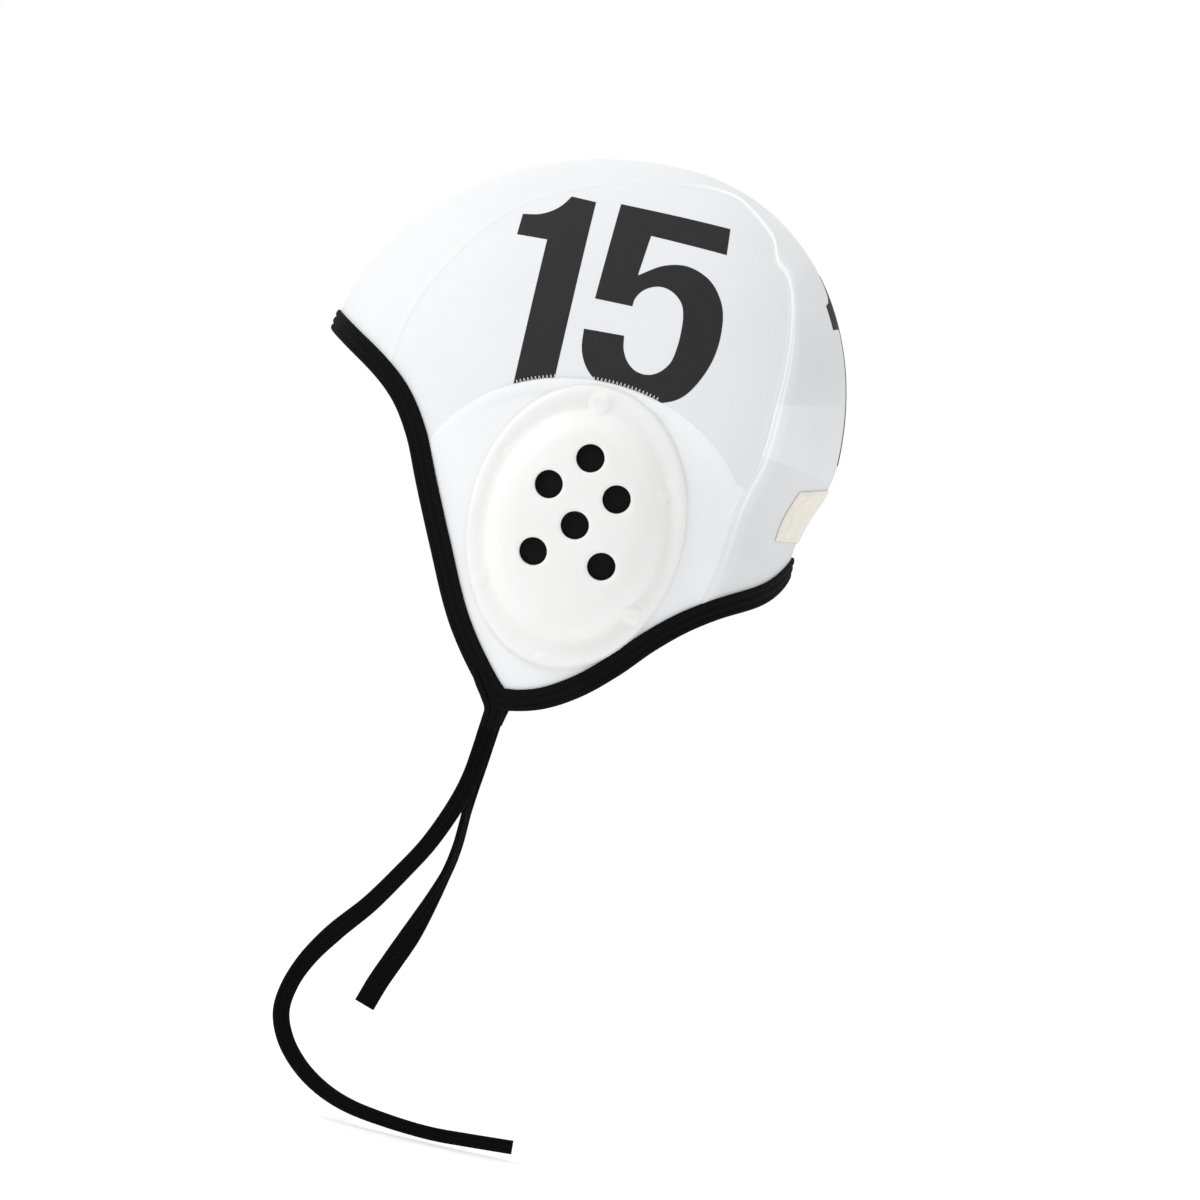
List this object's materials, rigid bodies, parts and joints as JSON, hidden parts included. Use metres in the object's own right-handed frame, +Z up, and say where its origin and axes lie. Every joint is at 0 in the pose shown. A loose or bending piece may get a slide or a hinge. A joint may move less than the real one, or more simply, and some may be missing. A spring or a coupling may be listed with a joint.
{
  "type": "water polo cap",
  "caption": "Soft white head cap with a contrasting side panel, perforated moulded ear guards, black bound rim that dips to a flap below each ear, and flat chin ties, held in its worn shape",
  "frame": {"origin": "where the crown of the head meets the inner face of the cap, in the middle plane", "axes": "+Z is up along the worn cap, -Y is the way the wearer faces, +X is the wearer's left"},
  "size_m": [0.1714, 0.1974, 0.3715],
  "materials": {
    "cloth": "smooth white stretch knit with a faint sheen",
    "panel_cloth": "cool white stretch knit, slightly greyer than the strip",
    "guard_plastic": "soft translucent off-white moulding with a satin surface",
    "dark_mesh": "fine black mesh",
    "black_tape": "black ribbed woven tape",
    "cream_label": "smooth cream woven label"
  },
  "bodies": {
    "root": {"crown_strip": "cloth", "side_panel_left": "panel_cloth", "side_panel_right": "panel_cloth", "ear_panel_left": "cloth", "ear_panel_right": "cloth", "ear_guard_left": "guard_plastic", "ear_guard_right": "guard_plastic", "ear_mesh_left": "dark_mesh", "ear_mesh_right": "dark_mesh", "front_binding": "black_tape", "back_binding": "black_tape", "back_label": "cream_label", "tie_left": "black_tape", "tie_right": "black_tape"}
  },
  "joints": []
}
